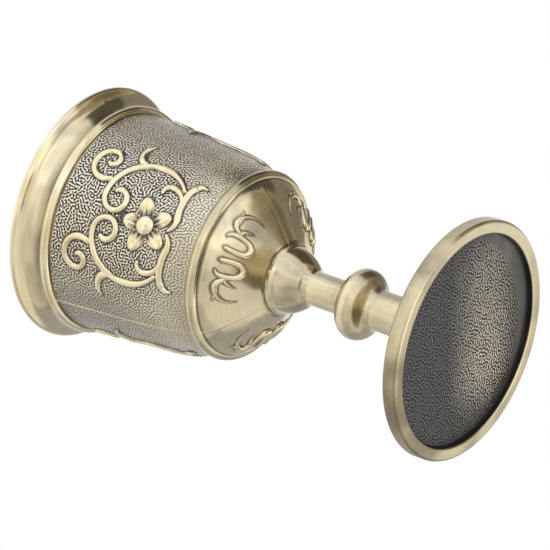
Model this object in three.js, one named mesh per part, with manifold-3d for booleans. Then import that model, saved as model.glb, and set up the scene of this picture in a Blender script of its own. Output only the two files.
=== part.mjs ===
// A small stemmed goblet of plated zinc alloy: a relief-cast bowl, a collar, a knop and a dished foot,
// drawn together face to face by one threaded rod hidden along the axis.
// Millimetres, +Z up, the foot's resting ring lies on z = 0 and the axis is x = y = 0.
// The middle of one flower panel faces -Y.
import * as THREE from 'three';
import { mergeVertices } from 'three/addons/utils/BufferGeometryUtils.js';
import Module from 'manifold-3d';

const wasm = await Module();
wasm.setup();

// Whole goblet
const GOBLET_HEIGHT = 78.58;

// Foot
const FOOT_RADIUS = 20.3;
const FOOT_RIM_HEIGHT = 2.75;
const FOOT_EDGE_ROUND = 0.4;
const FOOT_SHOULDER_ROUND = 0.65;
const FOOT_HEIGHT = 9.5;
const RECESS_RADIUS = 18.1;
const RECESS_DEPTH = 1.25;
const RECESS_FILLET = 0.3;
const RECESS_MOUTH_ROUND = 0.25;

// Stem
const LOWER_NECK_RADIUS = 3.4;
const LOWER_NECK_LENGTH = 7.8;
const KNOP_SWEEP_HEIGHT = 1.92;
const KNOP_RADIUS = 6.05;
const KNOP_BULGE = 2.85;
const KNOP_LOWER_HALF = 2.75;
const KNOP_UPPER_HALF = 2.4;
const UPPER_NECK_RADIUS = 2.9;
const UPPER_NECK_LENGTH = 6.6;
const COLLAR_SWEEP_HEIGHT = 1.4;
const COLLAR_SWEEP_OUT = 0.85;
const COLLAR_RADIUS = 6.2;
const COLLAR_BEVEL = 0.4;
const COLLAR_DOME_HEIGHT = 3.9;
const COLLAR_BAND_HEIGHT = 1.0;

// Bowl
const SEAT_LEDGE = 0.2;
const UNDERBOWL_RADIUS = 15.3;
const UNDERBOWL_HEIGHT = 7.0;
const LOWER_BEAD_RADIUS = 16.4;
const LOWER_BEAD_THICKNESS = 1.9;
const WALL_FOOT_RADIUS = 15.9;
const WALL_TOP_RADIUS = 18.85;
const WALL_THICKNESS = 1.9;
const UPPER_BEAD_RADIUS = 19.87;
const UPPER_BEAD_THICKNESS = 1.84;
const FLARE_HEIGHT = 3.4;
const LIP_RADIUS = 21.82;
const LIP_THICKNESS = 1.24;
const CUP_FLOOR_THICKNESS = 5.2;

// Rod and its holes
const ROD_RADIUS = 1.5;
const ROD_CLEARANCE = 0.2;
const ROD_CHAMFER = 0.3;
const ROD_END_GAP = 0.3;
const FOOT_HOLE_DEPTH = 5.5;
const BOWL_HOLE_DEPTH = 3.2;

// Relief
const PANELS = 3;
const FRONT_ANGLE = -90;
const RELIEF_LIFT = 0.5;
const RELIEF_ROOT = 0.6;
const PANEL_RADIUS = 17.8;
const MOTIF_RADIUS = 13.0;
const FLOWER_EYE_RADIUS = 1.55;
const FLOWER_EYE_LIFT = 0.75;
const PETALS = 5;
const PETAL_REACH = 3.15;
const PETAL_LENGTH = 3.6;
const PETAL_WIDTH = 3.4;
const PETAL_LIFT = 0.45;
const FLOWER_ROOT = 0.15;

// Half of one wall panel, mirrored about its middle line, as it is drawn on a sheet that is fitted to the
// wall. Each strand starts at (across, up from the wall's foot) with a heading in degrees, then runs along
// arcs of [radius, turn in degrees, left positive]. There is one width for the start and one for the end
// of each arc, and one height as a share of the relief's lift. The flower sits on the middle line.
const PANEL_SHEET = { radius: 17.8, height: 26.3, flower: 9.5 };
const PANEL_STRANDS = [
  { name: 'main scroll', lift: 1, start: [8.0, 5.7], heading: 40,
    arcs: [[7.2, 50], [7.5, 90], [2.4, 90], [1.9, 90], [1.7, 90], [1.0, 60]],
    widths: [0.8, 1.4, 1.15, 1.1, 1.2, 1.2, 0.9] },
  { name: 'upper spiral', lift: 0.92, start: [5.45, 19.0], heading: 115,
    arcs: [[4.0, -25], [2.75, -90], [2.5, -90], [1.5, -90], [1.0, -90], [0.8, -40]],
    widths: [1.2, 1.3, 1.25, 1.2, 1.1, 1.05, 0.9] },
  { name: 'tendril', lift: 0.84, start: [10.0, 14.2], heading: 80,
    arcs: [[2.6, -41], [2.6, -41], [2.4, -48]], widths: [1.0, 1.35, 1.0, 0.3] },
  { name: 'hook', lift: 0.88, start: [5.5, 4.85], heading: 30,
    arcs: [[3.6, 60], [1.3, 100]], widths: [0.9, 1.15, 0.55] },
  { name: 'leaf', lift: 1.08, start: [0.4, 5.15], heading: -48,
    arcs: [[2.4, 63], [14, -20], [4.0, -30], [1.3, -75]], widths: [0.4, 1.35, 1.3, 1.45, 0.35] },
];

// Half of one motif under the bowl, in the same way, with (across, out from the axis) as its places
const MOTIF_SHEET = { radius: 15.3 };
const MOTIF_STRANDS = [
  { name: 'loop', lift: 1.1, start: [0.98, 13.7], heading: -97,
    arcs: [[9.6, 14], [1.42, 83], [1.42, 83], [6.0, 25]], widths: [0.8, 0.95, 1.3, 0.85, 0.6] },
  { name: 'outer scroll', lift: 1, start: [4.6, 12.8], heading: 80,
    arcs: [[1.15, -80], [3.5, -82]], widths: [0.75, 0.9, 0.35] },
];

// Shapes of the swept outlines: the two pull points of each curve,
// as shares of the curve's run in radius and in height
const CROWN_PULLS = [[0.46, 0.13], [0.94, 0.23]];
const KNOP_SWEEP_PULLS = [[0, 0.5], [0.45, 0.81]];
const COLLAR_SWEEP_PULLS = [[0, 0.5], [0.45, 0.72]];
const DOME_PULLS = [[0.42, 0.24], [0.84, 0.58]];
const UNDERBOWL_PULLS = [[0.51, 0.41], [0.9, 0.725]];
const WALL_PULLS = [[0.63, 0.2], [0.66, 0.55]];
const FLARE_PULLS = [[0.2, 0.59], [0.51, 0.88]];
const MOUTH_PULLS = [[0.45, 0.12], [0.92, 0.45]];
const CUP_FLOOR_PULLS = [[0.1, 0.62], [0.45, 1.0]];

// Stretch of each round that shows, in degrees from the outward direction
const KNOP_LOWER_ARC = [-60, 0];
const KNOP_UPPER_ARC = [0, 90];
const LOWER_BEAD_ARC = [-90, 64];
const UPPER_BEAD_ARC = [-84, 90];
const LIP_ARC = [-90, 180];

// Facets: sides round the axis, and steps along the outlines
const WIDE_SIDES = 44;
const SLIM_SIDES = 28;
const ROD_SIDES = 12;
const EDGE_STEPS = 2;
const BEAD_STEPS = 4;
const KNOP_STEPS = 4;
const LIP_STEPS = 6;
const SHORT_STEPS = 3;
const CURVE_STEPS = 5;
const LONG_STEPS = 7;
const STRAND_TURN = 45;
const STRAND_RUN = 3.2;
const FLOWER_SIDES = 10;

const point = (r, z) => new THREE.Vector2(r, z);
const rad = THREE.MathUtils.degToRad;

// Points along a round, or along a stretch of an ellipse
function round(centre, radius, [fromDeg, toDeg], steps, alongRadius = radius) {
  return new THREE.EllipseCurve(centre.x, centre.y, radius, alongRadius, rad(fromDeg), rad(toDeg)).getPoints(steps);
}

// A cubic curve from start to end
function sweep(start, end, pulls) {
  const run = end.clone().sub(start);
  const [first, second] = pulls.map(([across, along]) => point(across, along).multiply(run).add(start));
  return new THREE.CubicBezierCurve(start, first, second, end);
}

// A profile of (radius, height) points turned about the vertical axis
function turned(profile, sides) {
  const distinct = profile.filter((p, i) => i === 0 || p.distanceTo(profile[i - 1]) > 1e-4);
  return new THREE.LatheGeometry(distinct, sides).rotateX(Math.PI / 2);
}

function metal(color, roughness) {
  return new THREE.MeshStandardMaterial({ color, roughness, metalness: 1 });
}

function piece(name, geometry, material, height) {
  const mesh = new THREE.Mesh(geometry, material);
  mesh.name = name;
  mesh.position.z = height;
  return mesh;
}

function toSolid(geometry) {
  const bare = geometry.clone();
  bare.deleteAttribute('normal');
  bare.deleteAttribute('uv');
  const merged = mergeVertices(bare);
  const vertProperties = Float32Array.from(merged.attributes.position.array);
  const triVerts = Uint32Array.from(merged.index.array);
  return new wasm.Manifold(new wasm.Mesh({ numProp: 3, vertProperties, triVerts }));
}

function toGeometry(solid) {
  const mesh = solid.getMesh();
  const geometry = new THREE.BufferGeometry();
  geometry.setAttribute('position', new THREE.BufferAttribute(mesh.vertProperties, 3));
  geometry.setIndex(new THREE.BufferAttribute(mesh.triVerts, 1));
  geometry.computeVertexNormals();
  return geometry;
}

// Stack of seats, each casting standing on the one below it
const holeRadius = ROD_RADIUS + ROD_CLEARANCE;
const knopSeat = FOOT_HEIGHT;
const ringMiddle = LOWER_NECK_LENGTH + KNOP_SWEEP_HEIGHT - KNOP_LOWER_HALF * Math.sin(rad(KNOP_LOWER_ARC[0]));
const collarSeat = knopSeat + ringMiddle + KNOP_UPPER_HALF;
const collarBandFoot = UPPER_NECK_LENGTH + COLLAR_SWEEP_HEIGHT + COLLAR_DOME_HEIGHT;
const bowlSeat = collarSeat + collarBandFoot + COLLAR_BAND_HEIGHT;

// Foot: a disc with a rounded resting ring, a shallow recess underneath and a swept hub on top
function footGeometry() {
  const corner = point(RECESS_RADIUS - RECESS_FILLET, RECESS_DEPTH - RECESS_FILLET);
  const mouth = point(RECESS_RADIUS + RECESS_MOUTH_ROUND, RECESS_MOUTH_ROUND);
  const edge = point(FOOT_RADIUS - FOOT_EDGE_ROUND, FOOT_EDGE_ROUND);
  const shoulder = point(FOOT_RADIUS - FOOT_SHOULDER_ROUND, FOOT_RIM_HEIGHT - FOOT_SHOULDER_ROUND);
  const crownRim = point(shoulder.x, FOOT_RIM_HEIGHT);
  const hubTop = point(LOWER_NECK_RADIUS, FOOT_HEIGHT);
  const holeFloor = FOOT_HEIGHT - FOOT_HOLE_DEPTH;
  return turned([
    point(0, RECESS_DEPTH),
    ...round(corner, RECESS_FILLET, [90, 0], EDGE_STEPS),
    ...round(mouth, RECESS_MOUTH_ROUND, [180, 270], EDGE_STEPS),
    ...round(edge, FOOT_EDGE_ROUND, [270, 360], EDGE_STEPS),
    ...round(shoulder, FOOT_SHOULDER_ROUND, [0, 90], EDGE_STEPS),
    ...sweep(crownRim, hubTop, CROWN_PULLS).getPoints(LONG_STEPS),
    point(holeRadius, FOOT_HEIGHT),
    point(holeRadius, holeFloor),
    point(0, holeFloor),
  ], WIDE_SIDES);
}

// Knop: a sleeve with a plain lower neck and a swollen ring at its top
function knopGeometry() {
  const ringCore = point(KNOP_RADIUS - KNOP_BULGE, ringMiddle);
  const lowerHalf = round(ringCore, KNOP_BULGE, KNOP_LOWER_ARC, KNOP_STEPS, KNOP_LOWER_HALF);
  const neckEnd = point(LOWER_NECK_RADIUS, LOWER_NECK_LENGTH);
  return turned([
    point(holeRadius, 0),
    point(LOWER_NECK_RADIUS, 0),
    ...sweep(neckEnd, lowerHalf[0], KNOP_SWEEP_PULLS).getPoints(SHORT_STEPS),
    ...lowerHalf,
    ...round(ringCore, KNOP_BULGE, KNOP_UPPER_ARC, KNOP_STEPS, KNOP_UPPER_HALF),
    point(holeRadius, ringMiddle + KNOP_UPPER_HALF),
    point(holeRadius, 0),
  ], SLIM_SIDES);
}

// Collar: a sleeve with a slim upper neck that swells into a banded dome under the bowl
function collarGeometry() {
  const top = collarBandFoot + COLLAR_BAND_HEIGHT;
  const neckEnd = point(UPPER_NECK_RADIUS, UPPER_NECK_LENGTH);
  const domeFoot = point(UPPER_NECK_RADIUS + COLLAR_SWEEP_OUT, UPPER_NECK_LENGTH + COLLAR_SWEEP_HEIGHT);
  const domeEnd = point(COLLAR_RADIUS - COLLAR_BEVEL, collarBandFoot);
  return turned([
    point(holeRadius, 0),
    point(UPPER_NECK_RADIUS, 0),
    ...sweep(neckEnd, domeFoot, COLLAR_SWEEP_PULLS).getPoints(SHORT_STEPS),
    ...sweep(domeFoot, domeEnd, DOME_PULLS).getPoints(CURVE_STEPS),
    point(COLLAR_RADIUS, collarBandFoot + COLLAR_BEVEL),
    point(COLLAR_RADIUS, top),
    point(holeRadius, top),
    point(holeRadius, 0),
  ], SLIM_SIDES);
}

// Bowl outline: blind seat, dished underside, two beads with the wall between, flared lip and open cup
const seatEdge = point(COLLAR_RADIUS + SEAT_LEDGE, 0);
const underbowl = sweep(seatEdge, point(UNDERBOWL_RADIUS, UNDERBOWL_HEIGHT), UNDERBOWL_PULLS);
const lowerBead = LOWER_BEAD_THICKNESS / 2;
const lowerBeadCore = point(LOWER_BEAD_RADIUS - lowerBead, UNDERBOWL_HEIGHT + lowerBead);
const upperBead = UPPER_BEAD_THICKNESS / 2;
const lip = LIP_THICKNESS / 2;
const lipCore = point(LIP_RADIUS - lip, GOBLET_HEIGHT - bowlSeat - lip);
const flareTop = point(lipCore.x, lipCore.y - lip);
const flareFoot = point(UPPER_BEAD_RADIUS - upperBead, flareTop.y - FLARE_HEIGHT);
const upperBeadCore = point(flareFoot.x, flareFoot.y - upperBead);
const wallFoot = point(WALL_FOOT_RADIUS, UNDERBOWL_HEIGHT + LOWER_BEAD_THICKNESS);
const wallTop = point(WALL_TOP_RADIUS, flareFoot.y - UPPER_BEAD_THICKNESS);
const wall = sweep(wallFoot, wallTop, WALL_PULLS);

function bowlBody() {
  const mouth = point(lipCore.x - lip, lipCore.y);
  const cupTop = point(WALL_TOP_RADIUS - WALL_THICKNESS, wallTop.y);
  const cupFoot = point(WALL_FOOT_RADIUS - WALL_THICKNESS, wallFoot.y);
  const cupFloor = point(0, CUP_FLOOR_THICKNESS);
  return turned([
    point(0, BOWL_HOLE_DEPTH),
    point(holeRadius, BOWL_HOLE_DEPTH),
    point(holeRadius, 0),
    ...underbowl.getPoints(CURVE_STEPS),
    ...round(lowerBeadCore, lowerBead, LOWER_BEAD_ARC, BEAD_STEPS),
    ...wall.getPoints(CURVE_STEPS),
    ...round(upperBeadCore, upperBead, UPPER_BEAD_ARC, BEAD_STEPS),
    ...sweep(flareFoot, flareTop, FLARE_PULLS).getPoints(SHORT_STEPS),
    ...round(lipCore, lip, LIP_ARC, LIP_STEPS),
    ...sweep(mouth, cupTop, MOUTH_PULLS).getPoints(SHORT_STEPS),
    ...sweep(cupFoot, cupTop, WALL_PULLS).getPoints(SHORT_STEPS).reverse(),
    ...sweep(cupFoot, cupFloor, CUP_FLOOR_PULLS).getPoints(CURVE_STEPS),
  ], WIDE_SIDES);
}

// The place on an outline where the given coordinate ('x' radius or 'y' height) has the given value
function placeOn(outline, axis, value) {
  let low = 0;
  let high = 1;
  for (let i = 0; i < 30; i += 1) {
    const middle = (low + high) / 2;
    if (outline.getPoint(middle)[axis] < value) low = middle;
    else high = middle;
  }
  return { at: outline.getPoint(low), along: outline.getTangent(low) };
}

// A surface of the bowl as a map from (across, along, lift) to a point, at an angle round the axis
function surface(outline, axis, offset, acrossRadius) {
  return (across, along, lift, panelDeg) => {
    const { at, along: tangent } = placeOn(outline, axis, along + offset);
    const angle = rad(panelDeg) + across / acrossRadius;
    const radius = at.x + tangent.y * lift;
    return new THREE.Vector3(radius * Math.cos(angle), radius * Math.sin(angle), at.y - tangent.x * lift);
  };
}

const onWall = surface(wall, 'y', wallFoot.y, PANEL_RADIUS);
const onUnderbowl = surface(underbowl, 'x', 0, MOTIF_RADIUS);

// Millimetres per unit of each sheet, across and along
const panelUnit = point(PANEL_RADIUS / PANEL_SHEET.radius, (wallTop.y - wallFoot.y) / PANEL_SHEET.height);
const motifUnit = point(1, 1).multiplyScalar(UNDERBOWL_RADIUS / MOTIF_SHEET.radius);

// Stations along a strand, on its sheet: place, heading and width
function stations({ start, heading, arcs, widths }, unit) {
  let [x, y] = start;
  let facing = rad(heading);
  const list = [{ x, y, facing, width: widths[0] }];
  arcs.forEach(([radius, turnDeg], i) => {
    const run = radius * rad(Math.abs(turnDeg));
    const steps = Math.ceil(Math.max(Math.abs(turnDeg) / STRAND_TURN, (run * unit.y) / STRAND_RUN));
    const turn = rad(turnDeg) / steps;
    const chord = 2 * radius * Math.sin(Math.abs(turn) / 2);
    for (let step = 1; step <= steps; step += 1) {
      x += chord * Math.cos(facing + turn / 2);
      y += chord * Math.sin(facing + turn / 2);
      facing += turn;
      list.push({ x, y, facing, width: THREE.MathUtils.lerp(widths[i], widths[i + 1], step / steps) });
    }
  });
  return list;
}

// One raised strand as a closed solid with a flat-topped section, rooted under the surface it lies on
function strandSolid(strand, place, unit, panelDeg, side) {
  const top = strand.lift * RELIEF_LIFT;
  const section = [[-0.5, -RELIEF_ROOT], [0.5, -RELIEF_ROOT], [0.26, top], [-0.26, top]];
  const rings = stations(strand, unit);
  const corners = rings.flatMap(({ x, y, facing, width }) => section.map(([offset, lift]) => {
    const across = x - Math.sin(facing) * offset * width;
    const along = y + Math.cos(facing) * offset * width;
    return place(side * across * unit.x, along * unit.y, lift, panelDeg);
  }));
  const n = section.length;
  const faces = [];
  for (let ring = 0; ring + 1 < rings.length; ring += 1) {
    for (let k = 0; k < n; k += 1) {
      const a = ring * n + k;
      const b = ring * n + ((k + 1) % n);
      faces.push([a, b, a + n], [b, b + n, a + n]);
    }
  }
  const last = (rings.length - 1) * n;
  for (let k = 1; k + 1 < n; k += 1) faces.push([0, k + 1, k], [last, last + k, last + k + 1]);
  const geometry = new THREE.BufferGeometry().setFromPoints(corners);
  geometry.setIndex(faces.flatMap(([a, b, c]) => (side > 0 ? [a, b, c] : [a, c, b])));
  return toSolid(geometry);
}

// A low dome of the given length, width and lift, rooted under the wall
function domeSolid(across, along, length, width, lift, turnDeg, panelDeg) {
  const centre = onWall(across, along, -FLOWER_ROOT, panelDeg);
  const outward = onWall(across, along, 0, panelDeg).sub(centre).normalize();
  const sideways = new THREE.Vector3(-centre.y, centre.x, 0).normalize();
  const upward = new THREE.Vector3().crossVectors(outward, sideways);
  const frame = new THREE.Matrix4().makeBasis(sideways, upward, outward).setPosition(centre);
  const dome = new THREE.SphereGeometry(1, FLOWER_SIDES, FLOWER_SIDES / 2);
  dome.rotateX(Math.PI / 2).scale(length / 2, width / 2, lift + FLOWER_ROOT).rotateZ(rad(turnDeg)).applyMatrix4(frame);
  return toSolid(dome);
}

function flowerSolids(panelDeg) {
  const eye = 2 * FLOWER_EYE_RADIUS;
  const middle = PANEL_SHEET.flower * panelUnit.y;
  const solids = [domeSolid(0, middle, eye, eye, FLOWER_EYE_LIFT, 0, panelDeg)];
  for (let k = 0; k < PETALS; k += 1) {
    const turnDeg = 90 + (360 / PETALS) * k;
    const across = PETAL_REACH * Math.cos(rad(turnDeg));
    const along = middle + PETAL_REACH * Math.sin(rad(turnDeg));
    solids.push(domeSolid(across, along, PETAL_LENGTH, PETAL_WIDTH, PETAL_LIFT, turnDeg, panelDeg));
  }
  return solids;
}

// Bowl: the turned body with its panels and motifs cast on
function bowlGeometry() {
  let bowl = toSolid(bowlBody());
  for (let panel = 0; panel < PANELS; panel += 1) {
    const panelDeg = FRONT_ANGLE + (360 / PANELS) * panel;
    const relief = flowerSolids(panelDeg);
    for (const side of [1, -1]) {
      relief.push(...PANEL_STRANDS.map((s) => strandSolid(s, onWall, panelUnit, panelDeg, side)));
      relief.push(...MOTIF_STRANDS.map((s) => strandSolid(s, onUnderbowl, motifUnit, panelDeg, side)));
    }
    for (const solid of relief) bowl = bowl.add(solid);
  }
  return toGeometry(bowl);
}

// Rod: one stud with chamfered ends, its thread left plain
function rodGeometry(length) {
  return turned([
    point(0, 0),
    point(ROD_RADIUS - ROD_CHAMFER, 0),
    point(ROD_RADIUS, ROD_CHAMFER),
    point(ROD_RADIUS, length - ROD_CHAMFER),
    point(ROD_RADIUS - ROD_CHAMFER, length),
    point(0, length),
  ], ROD_SIDES);
}

const rodFoot = FOOT_HEIGHT - FOOT_HOLE_DEPTH + ROD_END_GAP;
const rodTop = bowlSeat + BOWL_HOLE_DEPTH - ROD_END_GAP;

const goblet = new THREE.Group();
goblet.add(
  piece('foot', footGeometry(), metal(0xb3a172, 0.38), 0),
  piece('knop', knopGeometry(), metal(0xc0ac78, 0.34), knopSeat),
  piece('collar', collarGeometry(), metal(0xc0ac78, 0.34), collarSeat),
  piece('bowl', bowlGeometry(), metal(0xb3a172, 0.4), bowlSeat),
  piece('tie_rod', rodGeometry(rodTop - rodFoot), metal(0x8f9296, 0.45), rodFoot),
);

export default goblet;
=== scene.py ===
# A small goblet in antique bronze finish, dressed piece by piece in the order in which it goes together.
# Lengths are in millimetres until a mesh is made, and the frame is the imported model's own, in metres.
import math

import bmesh
import bpy
import numpy as np
from mathutils import Matrix


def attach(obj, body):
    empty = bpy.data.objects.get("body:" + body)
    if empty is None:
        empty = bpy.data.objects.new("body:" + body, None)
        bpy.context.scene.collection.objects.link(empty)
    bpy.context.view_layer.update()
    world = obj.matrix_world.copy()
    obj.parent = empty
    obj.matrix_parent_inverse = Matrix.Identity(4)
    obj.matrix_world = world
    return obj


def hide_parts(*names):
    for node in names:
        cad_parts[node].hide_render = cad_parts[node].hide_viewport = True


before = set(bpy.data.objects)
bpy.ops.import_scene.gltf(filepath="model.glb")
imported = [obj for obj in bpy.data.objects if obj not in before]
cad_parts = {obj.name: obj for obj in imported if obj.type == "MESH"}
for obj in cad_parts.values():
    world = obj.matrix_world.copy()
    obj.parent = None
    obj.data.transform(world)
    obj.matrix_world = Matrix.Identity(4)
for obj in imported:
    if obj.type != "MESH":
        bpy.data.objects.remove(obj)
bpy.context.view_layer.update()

# Tie rod
# A steel stud that runs up the axis through every casting and draws them together, face to face.
# It is turned from drawn bar, and nothing of it shows once the goblet is put together.


class Wire:
    """An output of a shader node, so that shader maths reads as plain expressions."""

    def __init__(self, tree, socket=None):
        self.tree = tree
        self.socket = socket

    def node(self, kind, settings, sockets, output=0):
        made = self.tree.nodes.new(kind)
        for name, value in settings.items():
            setattr(made, name, value)
        for key, value in sockets.items():
            if isinstance(value, Wire):
                self.tree.links.new(value.socket, made.inputs[key])
            else:
                made.inputs[key].default_value = value
        return Wire(self.tree, made.outputs[output])

    def maths(self, operation, *values):
        return self.node("ShaderNodeMath", {"operation": operation}, dict(enumerate(values)))

    def __add__(self, other):
        return self.maths("ADD", self, other)

    def __sub__(self, other):
        return self.maths("SUBTRACT", self, other)

    def __rsub__(self, other):
        return self.maths("SUBTRACT", other, self)

    def __mul__(self, other):
        return self.maths("MULTIPLY", self, other)

    __radd__ = __add__
    __rmul__ = __mul__

    def step(self, low, high, to_low=0.0, to_high=1.0):
        settings = {"interpolation_type": "SMOOTHSTEP"}
        sockets = {0: self, 1: low, 2: high, 3: to_low, 4: to_high}
        return self.node("ShaderNodeMapRange", settings, sockets)

    def blend(self, first, second):
        """From the first colour to the second as this value goes from 0 to 1."""
        return self.node("ShaderNodeMix", {"data_type": "RGBA"}, {0: self, 6: first, 7: second}, 2)

    def noise(self, vector, scale, detail=2.0):
        return self.node("ShaderNodeTexNoise", {}, {"Vector": vector, "Scale": scale, "Detail": detail})

    def attribute(self, name):
        return self.node("ShaderNodeAttribute", {"attribute_name": name}, {}, "Fac")

    def feed(self, shader, name):
        self.tree.links.new(self.socket, shader.inputs[name])


def new_material(name):
    """A new material with its shader, and a wire to start its nodes from."""
    material = bpy.data.materials.new(name)
    material.use_nodes = True
    tree = material.node_tree
    return material, tree.nodes["Principled BSDF"], Wire(tree)


def turning_lines(wire, across, along):
    """Fine lines that run round the axis, as a lathe tool or a polishing wheel leaves them."""
    place = wire.node("ShaderNodeTexCoord", {}, {}, "Object")
    parts = place.node("ShaderNodeSeparateXYZ", {}, {0: place})
    x, y, z = (Wire(wire.tree, socket) for socket in parts.socket.node.outputs)
    radius = (x * x + y * y).maths("SQRT", x * x + y * y)
    vector = wire.node("ShaderNodeCombineXYZ", {}, {0: x * across, 1: y * across, 2: (z + radius) * along})
    return wire.noise(vector, 1.0, 3.0), place


DULL_STEEL = (0.42, 0.43, 0.44, 1)
CLEAN_STEEL = (0.52, 0.53, 0.54, 1)
STEEL_ROUGHNESS = 0.32
rod_steel, shader, wire = new_material("drawn_steel")
lines, _ = turning_lines(wire, 300, 2500)
shader.inputs["Metallic"].default_value = 1.0
lines.step(0.3, 0.7).blend(DULL_STEEL, CLEAN_STEEL).feed(shader, "Base Color")
(lines * 0.15 + STEEL_ROUGHNESS).feed(shader, "Roughness")
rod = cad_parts["tie_rod"]
rod.data.materials.clear()
rod.data.materials.append(rod_steel)

# Foot
# A round disc of zinc alloy, cast with a swept hub on top and a shallow recess underneath.
# It is plated and darkened, then the rim and the resting ring are polished back to pale bronze,
# while the grained floor of the recess keeps its dark patina.
MM = 0.001
GOLD = (0.67, 0.57, 0.35, 1)
PALE_GOLD = (0.81, 0.715, 0.495, 1)
SILVER = (0.66, 0.615, 0.52, 1)
UMBER = (0.115, 0.085, 0.048, 1)
PEWTER = (0.12, 0.12, 0.12, 1)
SOOT = (0.022, 0.02, 0.017, 1)
SATIN = 0.19
CLOUD_SCALE = 140.0
SWELL_SCALE = 190.0
GRAIN_PERIOD = 0.54
GRAIN_DEPTH = 0.08
LINE_DEPTH = 0.0018
SWELL_DEPTH = 0.16
SHARP_ANGLE = 35
TINY = 1e-6
FOOT_RADIUS = 20.3
FOOT_RIM_HEIGHT = 2.75
FOOT_HEIGHT = 9.5
FOOT_EDGE_ROUND = 0.5
FOOT_SHOULDER_ROUND = 0.65
RECESS_RADIUS = 18.1
RECESS_DEPTH = 1.25
RECESS_MOUTH_ROUND = 0.25
RECESS_FILLET = 0.3
RECESS_GRAIN_SCALE = 0.92
RECESS_GRAIN_CENTRE = (-4.9, -3.2)
RECESS_GRAIN_RADIUS = 21.0
# Ends of the band on the recess floor that gets a painted highlight
RECESS_HIGHLIGHT_ENDS = ((-2.0, 9.0), (11.0, 0.5))
# Angles at which the foot gets painted shade and a painted highlight
RIM_SHADE_ANGLE = -147
RIM_HIGHLIGHT_ANGLE = -5
FLOOR_PATINA = 0.58
FLOOR_HIGHLIGHT = 0.36
RIM_PATINA = 0.22
RECESS_WALL_PATINA = 0.75
HUB_TOP_PATINA = 0.16
LOWER_NECK_RADIUS = 3.4
HOLE_RADIUS = 1.7
FOOT_HOLE_DEPTH = 5.5
FOOT_COLUMNS = 240
NEAR = 0.01


def arc(centre, radius, start, end, steps, rise=None):
    """Points round a centre, from one angle in degrees to another."""
    angle = np.radians(np.linspace(start, end, steps + 1))
    return np.stack([centre[0] + radius * np.cos(angle), centre[1] + (rise or radius) * np.sin(angle)], 1)


def curve(start, end, pulls, steps):
    """A cubic curve whose two pull points are shares of its run in radius and in height."""
    start, end, pulls = np.array(start, float), np.array(end, float), np.array(pulls)
    first, second = start + pulls * (end - start)
    t = np.linspace(0, 1, steps + 1)[:, None]
    return (1 - t) ** 3 * start + 3 * t * (1 - t) ** 2 * first + 3 * t * t * (1 - t) * second + t**3 * end


def line(start, end, steps):
    return np.linspace(start, end, steps + 1)


def outline(*parts):
    """The parts as one run of (radius, height), without doubled points."""
    run = np.concatenate([np.atleast_2d(np.array(part, float)) for part in parts])
    keep = np.ones(len(run), bool)
    keep[1:] = np.linalg.norm(np.diff(run, axis=0), axis=1) > TINY
    return run[keep]


def turned(name, run, columns, surface=None):
    """A closed body turned about the axis. The surface map gives each corner its place in millimetres."""
    angles = np.arange(columns) * (2 * math.pi / columns)
    corners, rows = [], []
    for radius, height in run:
        if radius < TINY:
            rows.append([len(corners)] * columns)
            corners.append((0.0, 0.0, height * MM))
            continue
        rows.append(list(range(len(corners), len(corners) + columns)))
        corners.extend((radius * MM * math.cos(a), radius * MM * math.sin(a), height * MM) for a in angles)
    closed = rows[0][0] != rows[0][1]
    faces, places = [], []
    pairs = [(i, i + 1) for i in range(len(rows) - 1)] + ([(len(rows) - 1, 0)] if closed else [])
    for low, high in pairs:
        for j in range(columns):
            k = (j + 1) % columns
            ring = [(low, j, rows[low][j]), (low, j + 1, rows[low][k]),
                    (high, j + 1, rows[high][k]), (high, j, rows[high][j])]
            corner = [c for n, c in enumerate(ring) if c[2] not in [d[2] for d in ring[:n]]]
            faces.append([c[2] for c in corner])
            places.extend((c[0], c[1]) for c in corner)
    mesh = bpy.data.meshes.new(name)
    mesh.from_pydata(corners, [], faces)
    if surface:
        row, column = np.array(places).T
        spread = np.stack(surface(run[row, 0], run[row, 1], column * (2 * math.pi / columns)), 1)
        mesh.uv_layers.new(name="surface_mm").data.foreach_set("uv", spread.astype(np.float32).ravel())
    mesh.shade_smooth()
    mesh.set_sharp_from_angle(angle=math.radians(SHARP_ANGLE))
    piece = bpy.data.objects.new(name, mesh)
    bpy.context.scene.collection.objects.link(piece)
    return piece


def vertex_places(mesh):
    """Radius, angle and height of each vertex, in millimetres and radians."""
    flat = np.empty(len(mesh.vertices) * 3, np.float32)
    mesh.vertices.foreach_get("co", flat)
    x, y, z = flat.reshape(-1, 3).T.astype(float) / MM
    return np.hypot(x, y), np.arctan2(y, x), z


def paint(mesh, name, values):
    """Keeps a value from 0 to 1 on each vertex, for the material to read."""
    values = np.clip(values, 0, 1).astype(np.float32)
    mesh.attributes.new(name, "FLOAT", "POINT").data.foreach_set("value", values)


def fade(values, low, high):
    """A smooth step in numpy, from 0 at low to 1 at high."""
    t = np.clip((values - low) / (high - low), 0, 1)
    return t * t * (3 - 2 * t)


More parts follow.
